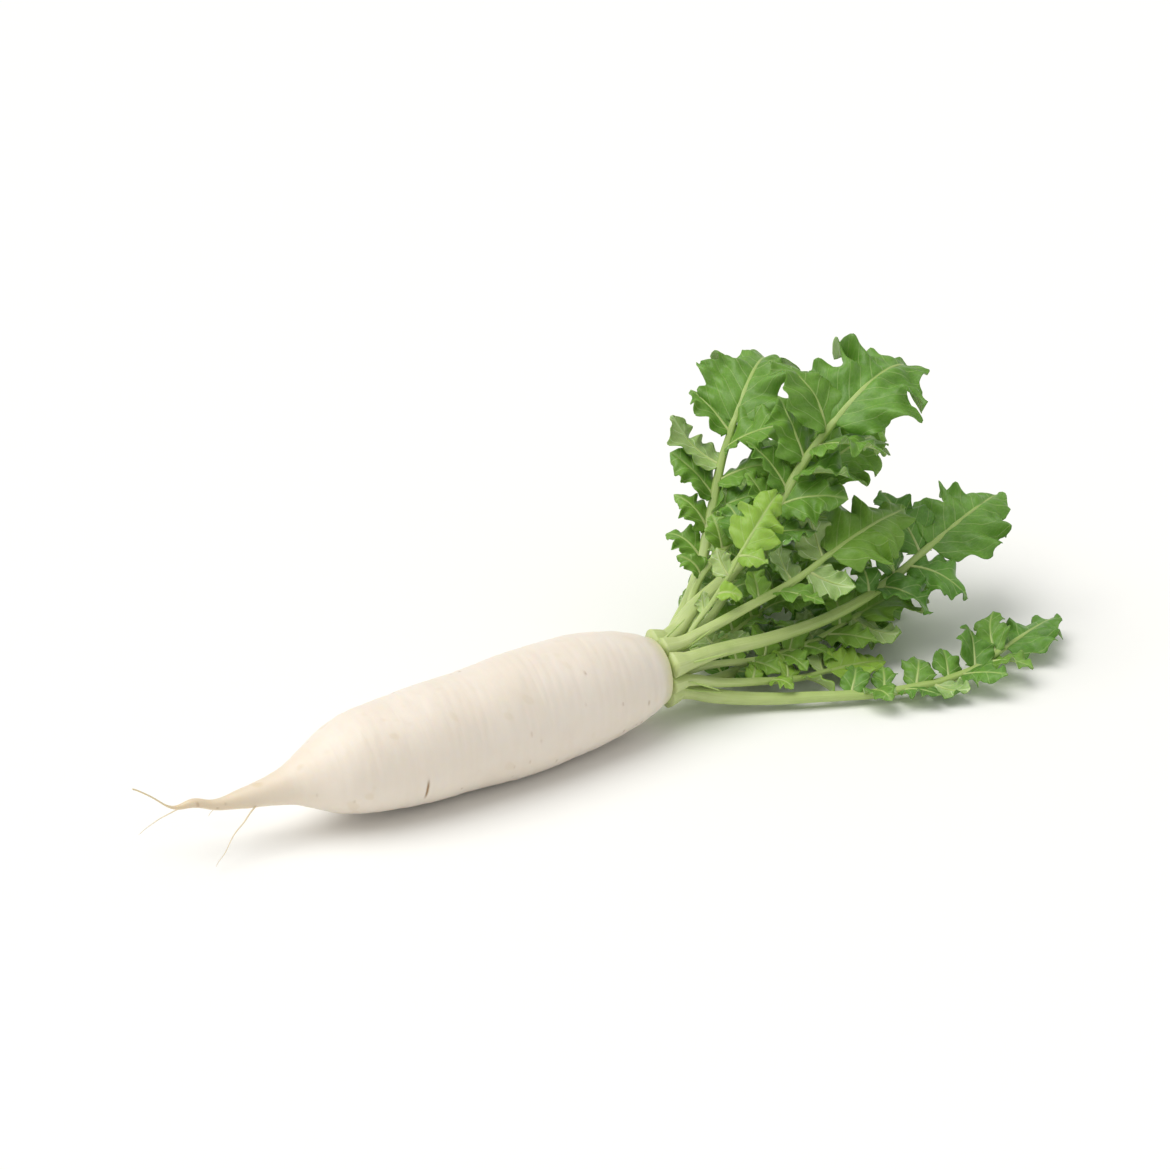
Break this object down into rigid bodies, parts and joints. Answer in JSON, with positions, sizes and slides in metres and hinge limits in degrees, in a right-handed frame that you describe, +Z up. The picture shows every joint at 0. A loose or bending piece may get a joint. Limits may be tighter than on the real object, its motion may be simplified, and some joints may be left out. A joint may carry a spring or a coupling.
{
  "type": "daikon radish",
  "caption": "White daikon radish lying on its side, a tapered taproot with a thin tail, and a spread of green lobed leaves on pale stalks at its crown.",
  "frame": {"origin": "on the surface that the radish lies on, under the middle of its bounding box", "axes": "+X from the tail to the leaves, along the root; +Z up from the surface; +Y to the left of the root, seen from the tail"},
  "size_m": [0.5744, 0.2412, 0.1775],
  "materials": {
    "root_skin": "smooth, moist creamy-white radish skin",
    "crown_green": "satin yellow-green stem tissue",
    "stalk_green": "satin pale green leaf stalk",
    "leaf_green": "satin green leaf, lighter underneath"
  },
  "bodies": {
    "root": {"crown": "crown_green", "leaf_10_blade": "leaf_green", "leaf_10_lobe_1": "leaf_green", "leaf_10_lobe_2": "leaf_green", "leaf_10_stalk": "stalk_green", "leaf_11_blade": "leaf_green", "leaf_11_lobe_1": "leaf_green", "leaf_11_lobe_2": "leaf_green", "leaf_11_stalk": "stalk_green", "leaf_12_blade": "leaf_green", "leaf_12_lobe_1": "leaf_green", "leaf_12_stalk": "stalk_green", "leaf_13_blade": "leaf_green", "leaf_13_lobe_1": "leaf_green", "leaf_13_stalk": "stalk_green", "leaf_1_blade": "leaf_green", "leaf_1_lobe_1": "leaf_green", "leaf_1_lobe_2": "leaf_green", "leaf_1_lobe_3": "leaf_green", "leaf_1_stalk": "stalk_green", "leaf_2_blade": "leaf_green", "leaf_2_lobe_1": "leaf_green", "leaf_2_lobe_2": "leaf_green", "leaf_2_lobe_3": "leaf_green", "leaf_2_stalk": "stalk_green", "leaf_3_blade": "leaf_green", "leaf_3_lobe_1": "leaf_green", "leaf_3_lobe_2": "leaf_green", "leaf_3_stalk": "stalk_green", "leaf_4_blade": "leaf_green", "leaf_4_lobe_1": "leaf_green", "leaf_4_lobe_2": "leaf_green", "leaf_4_lobe_3": "leaf_green", "leaf_4_stalk": "stalk_green", "leaf_5_blade": "leaf_green", "leaf_5_lobe_1": "leaf_green", "leaf_5_lobe_2": "leaf_green", "leaf_5_lobe_3": "leaf_green", "leaf_5_stalk": "stalk_green", "leaf_6_blade": "leaf_green", "leaf_6_lobe_1": "leaf_green", "leaf_6_lobe_2": "leaf_green", "leaf_6_stalk": "stalk_green", "leaf_7_blade": "leaf_green", "leaf_7_lobe_1": "leaf_green", "leaf_7_lobe_2": "leaf_green", "leaf_7_stalk": "stalk_green", "leaf_8_blade": "leaf_green", "leaf_8_lobe_1": "leaf_green", "leaf_8_lobe_2": "leaf_green", "leaf_8_lobe_3": "leaf_green", "leaf_8_stalk": "stalk_green", "leaf_9_blade": "leaf_green", "leaf_9_lobe_1": "leaf_green", "leaf_9_lobe_2": "leaf_green", "leaf_9_stalk": "stalk_green", "rootlet_1": "root_skin", "rootlet_2": "root_skin", "rootlet_3": "root_skin", "taproot": "root_skin"}
  },
  "joints": []
}
